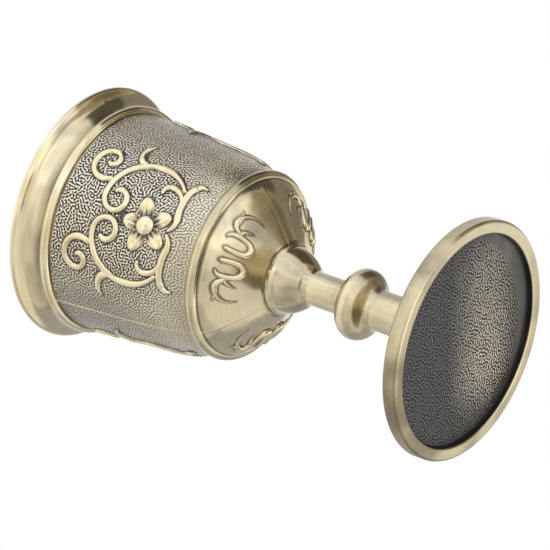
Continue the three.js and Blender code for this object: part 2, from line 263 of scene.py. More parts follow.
def antique_bronze(name, roughness):
    """Darkened plating, polished back on what stands proud. It reads two painted values: grain, where the
    surface has its worm-like cast texture, and patina_and_shade, from bare metal to full patina, which on
    some pieces also holds painted shade and painted highlight."""
    material, shader, wire = new_material(name)
    lines, place = turning_lines(wire, 90, 3800)
    cloud = wire.noise(place, CLOUD_SCALE, 3.0)
    grain = wire.attribute("grain")
    patina_and_shade = wire.attribute("patina_and_shade") + (cloud - 0.5) * (1 - grain) * 0.6
    spread = wire.node("ShaderNodeUVMap", {"uv_map": "surface_mm"}, {})
    gabor = {"Vector": spread, "Scale": 1 / (2 * GRAIN_PERIOD), "Frequency": 2.0, "Anisotropy": 0.0}
    worms = wire.node("ShaderNodeTexGabor", {"gabor_type": "2D"}, gabor, "Value")
    valley = (1 - worms.step(0.45, 0.56)) * grain
    swell = wire.noise(place, SWELL_SCALE, 1.0) * (1 - grain)
    bright = (cloud * 0.6 + lines * 0.4).step(0.35, 0.65)
    colour = (grain * 0.7).blend(bright.blend(GOLD, PALE_GOLD), SILVER)
    # Patina colour, which also colours the painted shade
    patina_and_shade_tone = grain.maths("MAXIMUM", grain, patina_and_shade.step(0.42, 0.52)).blend(UMBER, PEWTER)
    colour = patina_and_shade.step(0.0, 0.6).blend(colour, patina_and_shade_tone)
    colour = patina_and_shade.maths("MAXIMUM", patina_and_shade.step(0.6, 1.0), valley * 0.98).blend(colour, SOOT)
    rough = roughness + lines * 0.1 + patina_and_shade * 0.12 + patina_and_shade.step(0.4, 0.6) * 0.3 + valley * 0.25
    height = worms.step(0.25, 0.75) * grain * GRAIN_DEPTH + lines * LINE_DEPTH + swell * SWELL_DEPTH
    bump = wire.node("ShaderNodeBump", {}, {"Strength": 1.0, "Distance": MM, "Height": height})
    colour.feed(shader, "Base Color")
    rough.feed(shader, "Roughness")
    (1.0 - valley * 0.2 - patina_and_shade.step(0.3, 0.6) * 0.4).feed(shader, "Metallic")
    bump.feed(shader, "Normal")
    return material


def ready(piece, material, *nodes):
    """Gives a finished piece its material, body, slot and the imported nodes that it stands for."""
    piece.data.materials.clear()
    piece.data.materials.append(material)
    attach(piece, "root")
    if nodes:
        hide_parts(*nodes)


satin_bronze = antique_bronze("satin_bronze", SATIN)
shoulder = (FOOT_RADIUS - FOOT_SHOULDER_ROUND, FOOT_RIM_HEIGHT - FOOT_SHOULDER_ROUND)
foot_run = outline(
    line((0, RECESS_DEPTH), (RECESS_RADIUS - RECESS_FILLET, RECESS_DEPTH), 45),
    arc((RECESS_RADIUS - RECESS_FILLET, RECESS_DEPTH - RECESS_FILLET), RECESS_FILLET, 90, 0, 5),
    line((RECESS_RADIUS, RECESS_DEPTH - RECESS_FILLET), (RECESS_RADIUS, RECESS_MOUTH_ROUND), 4),
    arc((RECESS_RADIUS + RECESS_MOUTH_ROUND, RECESS_MOUTH_ROUND), RECESS_MOUTH_ROUND, 180, 270, 8),
    arc((FOOT_RADIUS - FOOT_EDGE_ROUND, FOOT_EDGE_ROUND), FOOT_EDGE_ROUND, 270, 360, 8),
    arc(shoulder, FOOT_SHOULDER_ROUND, 0, 90, 8),
    curve((shoulder[0], FOOT_RIM_HEIGHT), (LOWER_NECK_RADIUS, FOOT_HEIGHT), [(0.46, 0.13), (0.94, 0.23)], 36),
    (HOLE_RADIUS, FOOT_HEIGHT),
    (HOLE_RADIUS, FOOT_HEIGHT - FOOT_HOLE_DEPTH),
    (0, FOOT_HEIGHT - FOOT_HOLE_DEPTH),
)
foot = turned("foot_disc", foot_run, FOOT_COLUMNS, lambda r, z, a: (
    RECESS_GRAIN_SCALE * r * np.cos(a), RECESS_GRAIN_SCALE * r * np.sin(a)))
radius, angle, height = vertex_places(foot.data)
in_recess = (height < RECESS_DEPTH + NEAR) & (radius < RECESS_RADIUS + NEAR)
on_floor = in_recess & (height > RECESS_DEPTH - NEAR)
x, y = radius * np.cos(angle), radius * np.sin(angle)
from_grain = np.hypot(x - RECESS_GRAIN_CENTRE[0], y - RECESS_GRAIN_CENTRE[1]) - RECESS_GRAIN_RADIUS
grained = 1 - fade(from_grain, -0.6, 0.7)
# Painted highlight: the grained floor loses patina along a band from (-2, 9) to (11, 0.5) mm. It fades out
# over 12 mm and is weaker towards the band's far end, so that one side of the recess is lighter.
(ax, ay), (bx, by) = RECESS_HIGHLIGHT_ENDS
share = np.clip(((x - ax) * (bx - ax) + (y - ay) * (by - ay)) / ((bx - ax) ** 2 + (by - ay) ** 2), 0, 1)
lit_band = 1 - fade(np.hypot(x - ax - share * (bx - ax), y - ay - share * (by - ay)), 1, 12)
lit_band *= 1 - 0.35 * share
paint(foot.data, "grain", on_floor * grained)
floor_patina_and_highlight = FLOOR_PATINA - grained * (0.05 + FLOOR_HIGHLIGHT * lit_band)
# Painted shade and painted highlight: over an even patina, the rim, hub and recess wall are darkened towards
# -147 degrees and lightened towards -5 degrees.
rim_patina_and_shade = RIM_PATINA + 0.2 * fade(np.cos(angle - math.radians(RIM_SHADE_ANGLE)), 0.6, 1.0)
rim_patina_and_shade -= 0.13 * fade(np.cos(angle - math.radians(RIM_HIGHLIGHT_ANGLE)), 0.5, 1.0)
recess_wall_patina_and_shade = rim_patina_and_shade + RECESS_WALL_PATINA * fade(height, 0.12, 0.3)
hub_top = fade(height, FOOT_HEIGHT - 0.5, FOOT_HEIGHT - 0.05)
hub_patina_and_shade = rim_patina_and_shade + 0.04 * fade(height, 0.2, 1.0) + HUB_TOP_PATINA * hub_top
paint(foot.data, "patina_and_shade", np.where(on_floor, floor_patina_and_highlight, np.where(in_recess, recess_wall_patina_and_shade, hub_patina_and_shade)))
ready(foot, satin_bronze, "foot")

# Knop
# A sleeve with a plain lower neck and a swollen ring at its top, turned bright after plating.
# It stands on the foot's hub and the rod passes through it.
LOWER_NECK_LENGTH = 7.8
UPPER_NECK_RADIUS = 2.9
KNOP_SWEEP_HEIGHT = 1.92
KNOP_RADIUS = 6.05
KNOP_BULGE = 2.85
KNOP_LOWER_HALF = 2.75
KNOP_UPPER_HALF = 2.4
KNOP_LOWER_ANGLE = -60
KNOP_PATINA = 0.1
SEAM_PATINA = 0.5
STEM_COLUMNS = 144
knop_seat = FOOT_HEIGHT
ring_foot = knop_seat + LOWER_NECK_LENGTH
ring_middle = ring_foot + KNOP_SWEEP_HEIGHT - KNOP_LOWER_HALF * math.sin(math.radians(KNOP_LOWER_ANGLE))
ring_core = (KNOP_RADIUS - KNOP_BULGE, ring_middle)
ring_low = arc(ring_core, KNOP_BULGE, KNOP_LOWER_ANGLE, 0, 24, KNOP_LOWER_HALF)
ring_top = ring_middle + KNOP_UPPER_HALF
knop_run = outline(
    (HOLE_RADIUS, knop_seat),
    line((LOWER_NECK_RADIUS, knop_seat), (LOWER_NECK_RADIUS, ring_foot), 8),
    curve((LOWER_NECK_RADIUS, ring_foot), ring_low[0], [(0, 0.5), (0.45, 0.81)], 14),
    ring_low,
    arc(ring_core, KNOP_BULGE, 0, 90, 24, KNOP_UPPER_HALF),
    (HOLE_RADIUS, ring_top),
)
knop = turned("knop_ring", knop_run, STEM_COLUMNS)
radius, _, height = vertex_places(knop.data)
top_seam = 1 - fade(np.hypot(radius - UPPER_NECK_RADIUS, height - ring_top), 0.1, 0.6)
foot_seam = 1 - fade(height - knop_seat, 0.05, 0.4)
# Painted shade: the ring is darker on its lower half, which faces the foot.
ring_patina_and_shade = KNOP_PATINA + 0.1 * fade(ring_middle - height, -1.0, 1.5)
paint(knop.data, "patina_and_shade", np.maximum.reduce([ring_patina_and_shade, SEAM_PATINA * top_seam, SEAM_PATINA * foot_seam]))
ready(knop, satin_bronze, "knop")

# Collar
# A sleeve with a slim upper neck that swells into a banded dome, on which the bowl sits.
# It is turned bright like the knop, with the patina left in the seam under the bowl.
UPPER_NECK_LENGTH = 6.6
COLLAR_SWEEP_HEIGHT = 1.4
COLLAR_SWEEP_OUT = 0.85
COLLAR_RADIUS = 6.2
COLLAR_BEVEL = 0.4
COLLAR_DOME_HEIGHT = 3.9
COLLAR_BAND_HEIGHT = 1.0
COLLAR_PATINA = 0.2
COLLAR_SEAT_PATINA = 0.4
POLISHED = 0.08
bronze = antique_bronze("antique_bronze", POLISHED)
collar_seat = ring_top
sweep_foot = (UPPER_NECK_RADIUS, collar_seat + UPPER_NECK_LENGTH)
dome_foot = (UPPER_NECK_RADIUS + COLLAR_SWEEP_OUT, sweep_foot[1] + COLLAR_SWEEP_HEIGHT)
band_foot = dome_foot[1] + COLLAR_DOME_HEIGHT
bowl_seat = band_foot + COLLAR_BAND_HEIGHT
collar_run = outline(
    (HOLE_RADIUS, collar_seat),
    line((UPPER_NECK_RADIUS, collar_seat), sweep_foot, 8),
    curve(sweep_foot, dome_foot, [(0, 0.5), (0.45, 0.72)], 10),
    curve(dome_foot, (COLLAR_RADIUS - COLLAR_BEVEL, band_foot), [(0.42, 0.24), (0.84, 0.58)], 28),
    line((COLLAR_RADIUS, band_foot + COLLAR_BEVEL), (COLLAR_RADIUS, bowl_seat), 4),
    (HOLE_RADIUS, bowl_seat),
)
collar = turned("collar_dome", collar_run, STEM_COLUMNS)
radius, _, height = vertex_places(collar.data)
foot_seam = 1 - fade(height - collar_seat, 0.05, 0.5)
seat_seam = fade(height, bowl_seat - 0.2, bowl_seat - 0.02)
# Painted shade and painted highlight: the dome is darker towards the neck and lighter towards the band under
# the bowl.
dome_patina_and_light = COLLAR_PATINA + 0.05 * fade(height, sweep_foot[1], dome_foot[1])
dome_patina_and_light -= 0.12 * fade(height, dome_foot[1], band_foot)
seams = np.maximum(SEAM_PATINA * foot_seam, COLLAR_SEAT_PATINA * seat_seam)
paint(collar.data, "patina_and_shade", np.maximum(dome_patina_and_light, seams))
ready(collar, bronze, "collar")

# Bowl
# One casting: a dished underside, two beads with a grained wall between them, and a flared lip.
# Three mould slides meet in thin parting lines, and the plating is polished back on all that stands proud.
UNDERBOWL_RADIUS = 15.3
UNDERBOWL_HEIGHT = 7.0
UNDERBOWL_PULLS = [(0.51, 0.41), (0.9, 0.725)]
LOWER_BEAD_RADIUS = 16.4
LOWER_BEAD_THICKNESS = 1.9
WALL_FOOT_RADIUS = 15.9
WALL_TOP_RADIUS = 18.85
WALL_THICKNESS = 1.9
WALL_PULLS = [(0.63, 0.2), (0.66, 0.55)]
UPPER_BEAD_RADIUS = 19.87
UPPER_BEAD_THICKNESS = 1.84
FLARE_HEIGHT = 3.4
LIP_RADIUS = 21.82
LIP_THICKNESS = 1.24
LIP_START_ANGLE = -66
GOBLET_HEIGHT = 78.58
CUP_FLOOR_THICKNESS = 5.2
BOWL_HOLE_DEPTH = 3.2
SEAT_RADIUS = COLLAR_RADIUS + 0.2
BOWL_COLUMNS = 360
PANEL_RADIUS = 17.8
under_top = (UNDERBOWL_RADIUS, bowl_seat + UNDERBOWL_HEIGHT)
under_run = curve((SEAT_RADIUS, bowl_seat), under_top, UNDERBOWL_PULLS, 40)
bead = LOWER_BEAD_THICKNESS / 2
lower_bead_core = (LOWER_BEAD_RADIUS - bead, bowl_seat + UNDERBOWL_HEIGHT + bead)
wall_foot = lower_bead_core[1] + bead
lip = LIP_THICKNESS / 2
lip_core = (LIP_RADIUS - lip, GOBLET_HEIGHT - lip)
flare_top = lip_core[1] - lip
flare_foot = flare_top - FLARE_HEIGHT
upper_bead = UPPER_BEAD_THICKNESS / 2
upper_bead_core = (UPPER_BEAD_RADIUS - upper_bead, flare_foot - upper_bead)
wall_top = flare_foot - UPPER_BEAD_THICKNESS
wall_run = curve((WALL_FOOT_RADIUS, wall_foot), (WALL_TOP_RADIUS, wall_top), WALL_PULLS, 84)
lip_arc = arc(lip_core, lip, LIP_START_ANGLE, 180, 24)
cup_foot = (WALL_FOOT_RADIUS - WALL_THICKNESS, wall_foot)
cup_top = (WALL_TOP_RADIUS - WALL_THICKNESS, wall_top)
bowl_run = outline(
    (0, bowl_seat + BOWL_HOLE_DEPTH),
    (HOLE_RADIUS, bowl_seat + BOWL_HOLE_DEPTH),
    (HOLE_RADIUS, bowl_seat),
    under_run,
    arc(lower_bead_core, bead, -90, 64, 16),
    wall_run,
    arc(upper_bead_core, upper_bead, -84, 90, 16),
    curve((upper_bead_core[0], flare_foot), lip_arc[0], [(0.18, 0.57), (0.48, 0.85)], 16),
    lip_arc,
    curve((lip_core[0] - lip, lip_core[1]), cup_top, [(0.45, 0.12), (0.92, 0.45)], 12),
    curve(cup_foot, cup_top, WALL_PULLS, 12)[::-1],
    curve(cup_foot, (0, bowl_seat + CUP_FLOOR_THICKNESS), [(0.1, 0.62), (0.45, 1.0)], 16),
)
bowl = turned("bowl_shell", bowl_run, BOWL_COLUMNS, lambda r, z, a: (a * PANEL_RADIUS, z))

# Wall scrolls
# Vines cast in one with the wall, three panels of them, each mirrored about its middle line.
# They stand half a millimetre proud with a round section, polished bright along their tops.
PANELS = 3
FRONT_ANGLE = -90
VINE_LIFT = 0.46
VINE_FLANK_PATINA = 0.6
STRAND_TURN = 7
STRAND_RUN = 0.35
STRAND_END = np.array([0.3, 0.55, 0.75, 0.9, 0.98])
STRAND_SIDES = 16
WELD = 1e-7
CHUNK = 4000
WALL_STRANDS = [
    # main scroll, from its lower end round into its curl
    ((8.0, 51.4), 40, [(7.2, 50), (7.5, 90), (2.4, 90), (1.9, 90), (1.7, 90), (1.0, 50)],
     [0.8, 1.4, 1.15, 1.1, 1.2, 1.25, 0.9]),
    # upper spiral, from the main scroll round into its curl
    ((5.45, 64.8), 115, [(4.0, -25), (2.75, -90), (2.5, -90), (1.5, -90), (1.0, -90), (0.8, -30)],
     [1.1, 1.3, 1.25, 1.2, 1.15, 1.15, 0.9]),
    # tendril
    ((9.9, 60.2), 84, [(2.5, -43), (2.5, -43), (2.4, -48)], [1.4, 1.65, 1.2, 0.3]),
    # hook
    ((3.0, 49.9), 5, [(8.0, 25), (3.0, 60), (1.3, 100)], [0.7, 1.0, 1.2, 0.7]),
    # leaf along the foot of the panel
    ((0.4, 50.8), -48, [(2.4, 63), (14, -20), (4.0, -30), (1.3, -75)], [0.6, 1.45, 1.35, 1.5, 0.5]),
]


def surface_map(run, along, across_radius):
    """A stretch of the bowl's outside, as a map from (across, along, lift) at the front panel to a point."""
    slope = np.gradient(run, axis=0)
    slope /= np.linalg.norm(slope, axis=1)[:, None]

    def place(across, station, lift):
        columns = (run[:, 0], run[:, 1], slope[:, 0], slope[:, 1])
        radius, height, run_out, run_up = (np.interp(station, run[:, along], column) for column in columns)
        angle = math.radians(FRONT_ANGLE) + across / across_radius
        radius = radius + run_up * lift
        return np.stack([radius * np.cos(angle), radius * np.sin(angle), height - run_out * lift], -1)

    return place


def strand(start, heading, arcs, widths):
    """Places and half widths along one cast strand, which runs along arcs of (radius, turn in degrees)."""
    x, y = start
    facing = math.radians(heading)
    stations = [(x, y, widths[0] / 2)]
    for (radius, turn), w0, w1 in zip(arcs, widths, widths[1:]):
        steps = max(2, round(abs(turn) / STRAND_TURN), round(radius * math.radians(abs(turn)) / STRAND_RUN))
        bend = math.radians(turn) / steps
        chord = 2 * radius * math.sin(abs(bend) / 2)
        for n in range(1, steps + 1):
            x += chord * math.cos(facing + bend / 2)
            y += chord * math.sin(facing + bend / 2)
            facing += bend
            stations.append((x, y, (w0 + (w1 - w0) * n / steps) / 2))
    ends = []
    for x0, y0, half, direction in ((*stations[0], math.radians(heading) + math.pi), (*stations[-1], facing)):
        reach = half * STRAND_END
        shrink = np.sqrt(half**2 - reach**2)
        ends.append(np.stack([x0 + reach * math.cos(direction), y0 + reach * math.sin(direction), shrink], 1))
    return np.concatenate([ends[0][::-1], np.array(stations), ends[1]])


def both_sides(strands):
    """Each strand and its mirror image about the panel's middle line."""
    paths = [strand(*s) for s in strands]
    return paths + [path * [-1, 1, 1] for path in paths]


def node_link(tree, kind, sockets, **settings):
    """A new node in a geometry tree, with its settings and the values or links of its sockets."""
    made = tree.nodes.new(kind)
    for name, value in settings.items():
        setattr(made, name, value)
    for key, value in sockets.items():
        if isinstance(value, bpy.types.NodeSocket):
            tree.links.new(value, made.inputs[key])
        else:
            made.inputs[key].default_value = value
    return made


def cast_ring_tree():
    """Sweeps loose edges into round strands, keeps faces as they are, and repeats both round the axis."""
    tree = bpy.data.node_groups.new("cast_ring", "GeometryNodeTree")
    for name, kind in (("Geometry", "NodeSocketGeometry"), ("Repeats", "NodeSocketInt"),
                       ("Section sides", "NodeSocketInt"), ("Material", "NodeSocketMaterial")):
        tree.interface.new_socket(name, in_out="INPUT", socket_type=kind)
    tree.interface.new_socket("Geometry", in_out="OUTPUT", socket_type="NodeSocketGeometry")
    given = tree.nodes.new("NodeGroupInput").outputs
    loose = node_link(tree, "GeometryNodeInputMeshEdgeNeighbors", {}).outputs["Face Count"]
    is_path = node_link(tree, "FunctionNodeCompare", {2: loose, 3: 0}, data_type="INT", operation="EQUAL")
    parts = {0: given["Geometry"], 1: is_path.outputs[0]}
    split = node_link(tree, "GeometryNodeSeparateGeometry", parts, domain="EDGE")
    path = node_link(tree, "GeometryNodeMeshToCurve", {0: split.outputs["Selection"]})
    circle = {"Resolution": given["Section sides"], "Radius": 1.0}
    section = node_link(tree, "GeometryNodeCurvePrimitiveCircle", circle)
    girth = node_link(tree, "GeometryNodeInputNamedAttribute", {"Name": "girth"}, data_type="FLOAT")
    swept = node_link(tree, "GeometryNodeCurveToMesh", {
        "Curve": path.outputs[0], "Profile Curve": section.outputs[0],
        "Scale": girth.outputs["Attribute"], "Fill Caps": True})
    joined = node_link(tree, "GeometryNodeJoinGeometry", {})
    tree.links.new(swept.outputs[0], joined.inputs[0])
    tree.links.new(split.outputs["Inverted"], joined.inputs[0])
    turn = node_link(tree, "ShaderNodeMath", {0: 2 * math.pi, 1: given["Repeats"]}, operation="DIVIDE")
    index = node_link(tree, "GeometryNodeInputIndex", {})
    angle = node_link(tree, "ShaderNodeMath", {0: index.outputs[0], 1: turn.outputs[0]}, operation="MULTIPLY")
    euler = node_link(tree, "ShaderNodeCombineXYZ", {"Z": angle.outputs[0]})
    facing = node_link(tree, "FunctionNodeEulerToRotation", {0: euler.outputs[0]})
    hubs = node_link(tree, "GeometryNodePoints", {"Count": given["Repeats"]})
    ring = node_link(tree, "GeometryNodeInstanceOnPoints", {
        "Points": hubs.outputs[0], "Instance": joined.outputs[0], "Rotation": facing.outputs[0]})
    real = node_link(tree, "GeometryNodeRealizeInstances", {0: ring.outputs[0]})
    smooth = node_link(tree, "GeometryNodeSetShadeSmooth", {0: real.outputs[0]})
    dressed = {"Geometry": smooth.outputs[0], "Material": given["Material"]}
    finish = node_link(tree, "GeometryNodeSetMaterial", dressed)
    leave = tree.nodes.new("NodeGroupOutput")
    tree.links.new(finish.outputs[0], leave.inputs[0])
    return tree


cast_ring = cast_ring_tree()


def cast_round(name, corners, edges, faces, girth):
    """A plain mesh of the given panel, swept and repeated on each panel round the axis."""
    mesh = bpy.data.meshes.new(name)
    mesh.from_pydata((np.asarray(corners) * MM).tolist(), edges, faces)
    girth = np.asarray(girth, np.float32) * MM
    mesh.attributes.new("girth", "FLOAT", "POINT").data.foreach_set("value", girth)
    source = bpy.data.objects.new(name, mesh)
    bpy.context.scene.collection.objects.link(source)
    modifier = source.modifiers.new("cast_ring", "NODES")
    modifier.node_group = cast_ring
    values = {"Repeats": PANELS, "Section sides": STRAND_SIDES, "Material": bronze}
    for item in cast_ring.interface.items_tree:
        if item.in_out == "INPUT" and item.name in values:
            modifier[item.identifier] = values[item.name]
    bpy.context.view_layer.update()
    whole = bpy.data.meshes.new_from_object(source.evaluated_get(bpy.context.evaluated_depsgraph_get()))
    whole.name = name
    source.modifiers.clear()
    source.data = whole
    if "girth" in whole.attributes:
        whole.attributes.remove(whole.attributes["girth"])
    tidy = bmesh.new()
    tidy.from_mesh(whole)
    bmesh.ops.remove_doubles(tidy, verts=tidy.verts, dist=WELD)
    bmesh.ops.recalc_face_normals(tidy, faces=tidy.faces)
    tidy.to_mesh(whole)
    tidy.free()
    whole.shade_smooth()
    return source


def cast_strands(name, paths, place, lift):
    """Strands with a round section that stands out of the surface by the given lift."""
    corners, edges, girth = [], [], []
    for path in paths:
        x, y, half = path.T
        rise = np.minimum(lift, half)
        section = (half**2 + rise**2) / (2 * rise)
        first = len(girth)
        corners.extend(place(x, y, rise - section))
        girth.extend(section)
        edges.extend((n, n + 1) for n in range(first, len(girth) - 1))
    return cast_round(name, corners, edges, [], girth)


def proud(mesh, run):
    """How far each vertex stands out of the turned surface, in millimetres."""
    radius, _, height = vertex_places(mesh)
    slope = np.gradient(run, axis=0)
    gaps = np.empty(len(radius))
    for first in range(0, len(radius), CHUNK):
        part = slice(first, first + CHUNK)
        off_radius = radius[part, None] - run[:, 0]
        off_height = height[part, None] - run[:, 1]
        away = np.hypot(off_radius, off_height)
        nearest = np.arange(len(away)), away.argmin(1)
        side = off_radius[nearest] * slope[nearest[1], 1] - off_height[nearest] * slope[nearest[1], 0]
        gaps[part] = away[nearest] * np.sign(side)
    return gaps


wall_paths = both_sides(WALL_STRANDS)
on_wall = surface_map(wall_run, 1, PANEL_RADIUS)
wall_scrolls = cast_strands("wall_scrolls", wall_paths, on_wall, VINE_LIFT)
flank = 1 - fade(proud(wall_scrolls.data, wall_run), 0.02, 0.28)
paint(wall_scrolls.data, "patina_and_shade", VINE_FLANK_PATINA * flank)
ready(wall_scrolls, bronze)

# Wall flowers
# A five-petalled flower in the middle of each panel, cast in one with the wall.
# The eye is a plain dome, and each blunt petal is creased where it meets the eye.
FLOWER_CENTRE = 55.1
EYE_RADIUS = 1.74
EYE_LIFT = 0.85
EYE_GRID = (12, 37)
PETAL_ROOT = 1.1
PETAL_TIPS = (4.3, 5.0, 5.0, 5.0, 5.0)
PETAL_HALF_WIDTH = 1.46
PETAL_LIFT = 0.42
PETAL_GRID = (22, 25)
FIRST_PETAL = 90
PETAL_FIFTH = 72
CREASE_DEPTH = 0.25
CREASES = (-0.62, 0, 0.62)
CREASE_PATINA = 0.5
PETAL_EDGE_PATINA = 0.4
FLOWER_SINK = 0.05


def pillow(across, along, lift, sink):
    """Faces of a closed low cushion over a grid, whose two sheets share the grid's border."""
    rows, columns = across.shape
    upper = on_wall(across, along, lift).reshape(-1, 3)
    lower = on_wall(across, along, sink).reshape(-1, 3)
    grid = np.arange(rows * columns).reshape(rows, columns)
    quads = np.stack([grid[:-1, :-1], grid[:-1, 1:], grid[1:, 1:], grid[1:, :-1]], -1).reshape(-1, 4)
    return np.concatenate([upper, lower]), quads.tolist() + (quads[:, ::-1] + rows * columns).tolist()


def petal(turn, tip):
    """One petal: s runs from the eye to the tip and t from side to side."""
    s, t = np.meshgrid(np.linspace(0, 1, PETAL_GRID[0]), np.linspace(-1, 1, PETAL_GRID[1]), indexing="ij")
    half = PETAL_HALF_WIDTH * np.sin(math.pi * s**1.05) ** 0.5 * (1 - 0.08 * s) + 0.4 * (1 - s) ** 2
    reach = PETAL_ROOT + (tip - PETAL_ROOT) * s
    side = half * t
    border = (1 - np.abs(t) ** 3) * np.minimum(1, (1 - s) / 0.1) * np.minimum(1, s / 0.05)
    crown = PETAL_LIFT * (0.3 + 0.7 * fade(s, 0.1, 0.6)) * border**0.6
    crease = CREASE_DEPTH * (0.5 + 0.5 * np.cos(3 * math.pi * t)) * (1 - fade(s, 0.3, 0.75)) * border
    lift = np.where(border > 0, crown - crease + 0.02, 0) - FLOWER_SINK
    sink = -FLOWER_SINK - 0.35 * border
    turn = math.radians(turn)
    across = reach * math.cos(turn) - side * math.sin(turn)
    along = FLOWER_CENTRE + reach * math.sin(turn) + side * math.cos(turn)
    return pillow(across, along, lift, sink)


def eye():
    """The flower's eye: s runs from its middle to its edge and t round it."""
    shares = np.linspace(0, 1, EYE_GRID[0])
    turns = np.linspace(0, 2 * math.pi, EYE_GRID[1])
    s, t = np.meshgrid(shares, turns, indexing="ij")
    dome = np.sqrt(1 - s**2)
    across = EYE_RADIUS * s * np.cos(t)
    along = FLOWER_CENTRE + EYE_RADIUS * s * np.sin(t)
    return pillow(across, along, EYE_LIFT * dome - FLOWER_SINK, -FLOWER_SINK - 0.3 * dome)


def from_panel(angle):
    """Radians from the middle line of the nearest panel."""
    share = 2 * math.pi / PANELS
    return (angle - math.radians(FRONT_ANGLE) + share / 2) % share - share / 2


petals = [petal(FIRST_PETAL + PETAL_FIFTH * n, tip) for n, tip in enumerate(PETAL_TIPS)]
flower_corners, flower_faces = [], []
for corners, faces in [eye()] + petals:
    flower_faces.extend([[c + len(flower_corners) for c in face] for face in faces])
    flower_corners.extend(corners)
flowers = cast_round("wall_flowers", flower_corners, [], flower_faces, np.zeros(len(flower_corners)))
lift = proud(flowers.data, wall_run)
radius, angle, height = vertex_places(flowers.data)
across = from_panel(angle) * PANEL_RADIUS
from_eye = np.hypot(across, height - FLOWER_CENTRE)
eye_ring = 1 - fade(np.abs(from_eye - EYE_RADIUS - 0.05), 0.03, 0.22)
turn = np.arctan2(height - FLOWER_CENTRE, across)
fifth = math.radians(PETAL_FIFTH)
aside = from_eye * np.sin((turn - math.radians(FIRST_PETAL) + fifth / 2) % fifth - fifth / 2)
creases = np.max([1 - fade(np.abs(aside - c), 0.02, 0.13) for c in CREASES], axis=0)
creases *= (1 - fade(from_eye, 2.2, 3.6)) * (from_eye > EYE_RADIUS)
edges = 1 - fade(lift, 0.05, 0.3)
creased = CREASE_PATINA * np.maximum(creases, eye_ring)
paint(flowers.data, "patina_and_shade", np.maximum(creased, PETAL_EDGE_PATINA * edges))
ready(flowers, bronze)

# Underbowl scrolls
# Three small motifs of loops and curls cast on the dished underside, below the flower panels.
# They stand higher than the vines and are polished over, so that only their edges stay a little dark.
UNDER_LIFT = 0.7
MOTIF_RADIUS = 13.0
MOTIF_PATINA = 0.1
MOTIF_FLANK_PATINA = 0.32
UNDER_STRANDS = [
    # loop beside the middle line
    ((1.0, 13.1), -98, [(8.5, 14), (1.38, 83), (1.42, 83), (4.5, 25), (1.2, 50)],
     [1.0, 1.15, 1.45, 1.1, 1.0, 0.55]),
    # outer scroll
    ((4.35, 12.5), 80, [(1.2, -80), (3.4, -84)], [0.95, 1.15, 0.3]),
    # small leaf between them
    ((3.9, 12.2), 10, [(1.2, -60), (8.0, -10)], [0.9, 0.85, 0.25]),
    # tail towards the bead
    ((6.3, 13.4), -10, [(2.2, 36)], [1.0, 0.4]),
]
under_paths = both_sides(UNDER_STRANDS)
on_underbowl = surface_map(under_run, 0, MOTIF_RADIUS)
under_scrolls = cast_strands("underbowl_scrolls", under_paths, on_underbowl, UNDER_LIFT)
flank = 1 - fade(proud(under_scrolls.data, under_run), 0.02, 0.4)
paint(under_scrolls.data, "patina_and_shade", MOTIF_PATINA + MOTIF_FLANK_PATINA * flank)
ready(under_scrolls, bronze)

# Bowl finish
# The patina stays along the foot of every strand and in the corners by the beads,
# and the wall between the beads carries the grain.
VINE_EDGE_PATINA = 0.7
PETAL_FOOT_PATINA = 0.49
MOTIF_EDGE_PATINA = 0.41
WALL_CORNER_PATINA = 0.4
WALL_PATINA = 0.05
WALL_SHADE_ANGLE = -150
UNDERBOWL_PATINA = 0.15
UNDERBOWL_BEAD_PATINA = 0.45
UNDERBOWL_SEAT_PATINA = 0.36
FLARE_PATINA = 0.12
FLARE_FOOT_SHADE = 0.22
TOP_SEAM_PATINA = 0.75
CUP_PATINA = 0.2
PARTING_PATINA = 0.1
PARTING_ANGLES = (-150, -30, 90)
PARTING_HALF = 0.2
PARTING_HEIGHT = 0.06
PETAL_STATIONS = ((2.2, 1.15), (3.0, 1.4), (3.8, 1.3), (4.4, 0.7))


def patina_near(paths, across, along, reach):
    """How close each place is to the edge of a strand: 1 under it, fading out at the given reach."""
    stations = np.concatenate(paths)
    gap = np.empty(len(across))
    for first in range(0, len(across), CHUNK):
        part = slice(first, first + CHUNK)
        away = np.hypot(across[part, None] - stations[:, 0], along[part, None] - stations[:, 1])
        gap[part] = (away - stations[:, 2]).min(1)
    return 1 - fade(gap, 0.0, reach)


radius, angle, height = vertex_places(bowl.data)
panel = from_panel(angle)
wall_radius = np.interp(height, wall_run[:, 1], wall_run[:, 0])
outside_wall = (height > wall_foot - NEAR) & (height < wall_top + NEAR) & (radius > wall_radius - 0.3)
under_height = np.interp(radius, under_run[:, 0], under_run[:, 1])
outside_under = (radius > SEAT_RADIUS - NEAR) & (radius < UNDERBOWL_RADIUS + NEAR)
outside_under &= np.abs(height - under_height) < 0.05
outside_flare = (height > flare_foot) & (height < flare_top) & (radius > upper_bead_core[0] - NEAR)
in_cup = (radius < WALL_TOP_RADIUS - 0.4) & (height > bowl_seat + CUP_FLOOR_THICKNESS - NEAR)
in_cup &= ~outside_wall & ~outside_under
patina_and_shade = np.zeros(len(radius))

petal_paths = []
for turn in np.radians(FIRST_PETAL + PETAL_FIFTH * np.arange(len(PETAL_TIPS))):
    stations = [(r * math.cos(turn), FLOWER_CENTRE + r * math.sin(turn), half) for r, half in PETAL_STATIONS]
    petal_paths.append(np.array(stations))
rows = np.flatnonzero(outside_wall)
across = panel[rows] * PANEL_RADIUS
near_vine = patina_near(wall_paths, across, height[rows], 0.25)
near_petal = patina_near(petal_paths, across, height[rows], 0.25)
corner = np.maximum(1 - fade(height - wall_foot, 0.02, 0.25), 1 - fade(wall_top - height, 0.02, 0.25))
aside_panel = fade(np.abs(np.degrees(panel)), 24, 56)
